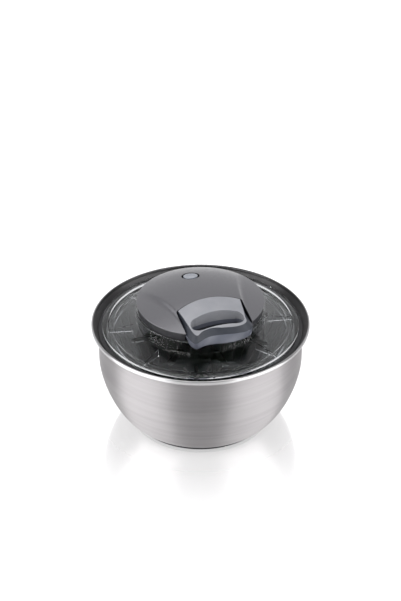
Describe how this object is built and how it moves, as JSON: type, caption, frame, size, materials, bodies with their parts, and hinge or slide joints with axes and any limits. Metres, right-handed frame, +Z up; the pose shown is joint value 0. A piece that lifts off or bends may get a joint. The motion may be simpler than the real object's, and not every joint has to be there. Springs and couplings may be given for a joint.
{
  "type": "salad spinner",
  "caption": "Salad spinner with a brushed steel bowl, slotted basket, clear lid and a domed pull-cord drive with docked handle and brake button.",
  "frame": {"origin": "centre of the base ring on the table", "axes": "+Z up; the pull handle comes out along -Y; +X to the right of someone who faces the handle"},
  "size_m": [0.265, 0.265, 0.1785],
  "materials": {
    "bowl_steel": "lathe-brushed stainless sheet with a polished bead",
    "base_rubber": "matt black silicone",
    "basket_plastic": "dark satin moulding",
    "clear_plastic": "clear polished moulding",
    "seal_rubber": "matt black silicone",
    "housing_black": "fine black texture",
    "cover_grey": "dark metallic grey, satin",
    "handle_light": "light grey satin",
    "handle_mid": "mid grey satin",
    "grip_soft": "dark blue-grey soft grip",
    "button_grey": "light grey satin",
    "acetal_white": "natural acetal",
    "drive_black": "black moulding",
    "fixing_steel": "bright plated steel",
    "spring_steel": "blued spring steel",
    "cord_fibre": "braided polyester cord",
    "ferrule_brass": "crimped brass",
    "brake_rubber": "friction rubber"
  },
  "bodies": {
    "bowl": {"bowl": "bowl_steel", "base_ring": "base_rubber"},
    "pivot": {"pivot_foot": "acetal_white"},
    "basket": {"basket": "basket_plastic", "basket_bearing": "acetal_white"},
    "lid": {"lid": "clear_plastic", "lid_seal": "seal_rubber", "hub_bush": "acetal_white", "housing_tray": "housing_black", "housing_cover": "cover_grey", "handle_dock": "housing_black", "cord_eyelet": "fixing_steel", "axle_pin": "fixing_steel", "spring_arbor": "acetal_white", "recoil_spring": "spring_steel", "cover_screws": "fixing_steel", "brake_spring": "spring_steel", "cord_run": "cord_fibre"},
    "hub": {"drive_hub": "drive_black", "basket_disc": "clear_plastic", "hub_washer": "fixing_steel", "hub_screw": "fixing_steel"},
    "reel": {"cord_reel": "acetal_white", "reel_cap": "acetal_white", "pull_cord": "cord_fibre", "pawl_pins": "fixing_steel"},
    "pawl_1": {"pawl_1": "acetal_white"},
    "pawl_2": {"pawl_2": "acetal_white"},
    "pawl_3": {"pawl_3": "acetal_white"},
    "handle": {"handle_top": "handle_light", "handle_grip": "grip_soft", "handle_base": "handle_mid", "handle_screws": "fixing_steel", "cord_ferrule": "ferrule_brass"},
    "button": {"brake_button": "button_grey", "brake_plunger": "drive_black", "brake_pad": "brake_rubber"}
  },
  "joints": [
    {"name": "lid_lift", "type": "slide", "parent": "bowl", "child": "lid", "axis": [0, 0, 1], "range_m": [0, 0.3]},
    {"name": "basket_lift", "type": "slide", "parent": "bowl", "child": "pivot", "axis": [0, 0, 1], "range_m": [0, 0.15]},
    {"name": "basket_spin", "type": "hinge", "parent": "pivot", "child": "basket", "pos_m": [0, 0, 0.015], "axis": [0, 0, 1], "continuous": true},
    {"name": "hub_spin", "type": "hinge", "parent": "lid", "child": "hub", "pos_m": [0, 0, 0.15], "axis": [0, 0, 1], "continuous": true},
    {"name": "handle_pull", "type": "slide", "parent": "lid", "child": "handle", "axis": [0, -1, 0], "range_m": [0, 0.37699], "stiffness_N_per_m": 15, "springref_m": -0.2, "deforming": ["cord_run", "recoil_spring"]},
    {"name": "reel_spin", "type": "hinge", "parent": "lid", "child": "reel", "pos_m": [0, 0, 0.162], "axis": [0, 0, 1], "range_deg": [0, 900]},
    {"name": "brake_press", "type": "slide", "parent": "lid", "child": "button", "axis": [0, 0, -1], "range_m": [0, 0.0027], "stiffness_N_per_m": 500, "springref_m": -0.002, "deforming": ["brake_spring"]},
    {"name": "pawl_1_swing", "type": "hinge", "parent": "reel", "child": "pawl_1", "pos_m": [0, 0.017, 0.1564], "axis": [0, 0, -1], "range_deg": [0, 15]},
    {"name": "pawl_2_swing", "type": "hinge", "parent": "reel", "child": "pawl_2", "pos_m": [-0.01472, -0.0085, 0.1564], "axis": [0, 0, -1], "range_deg": [0, 15]},
    {"name": "pawl_3_swing", "type": "hinge", "parent": "reel", "child": "pawl_3", "pos_m": [0.01472, -0.0085, 0.1564], "axis": [0, 0, -1], "range_deg": [0, 15]}
  ],
  "couplings": [
    {"joint": "basket_lift", "follows": "lid_lift", "ratio": 0.5},
    {"joint": "hub_spin", "follows": "basket_spin", "ratio": 1},
    {"joint": "reel_spin", "follows": "handle_pull", "rad_per_m": 41.667},
    {"joint": "pawl_2_swing", "follows": "pawl_1_swing", "ratio": 1},
    {"joint": "pawl_3_swing", "follows": "pawl_1_swing", "ratio": 1}
  ]
}
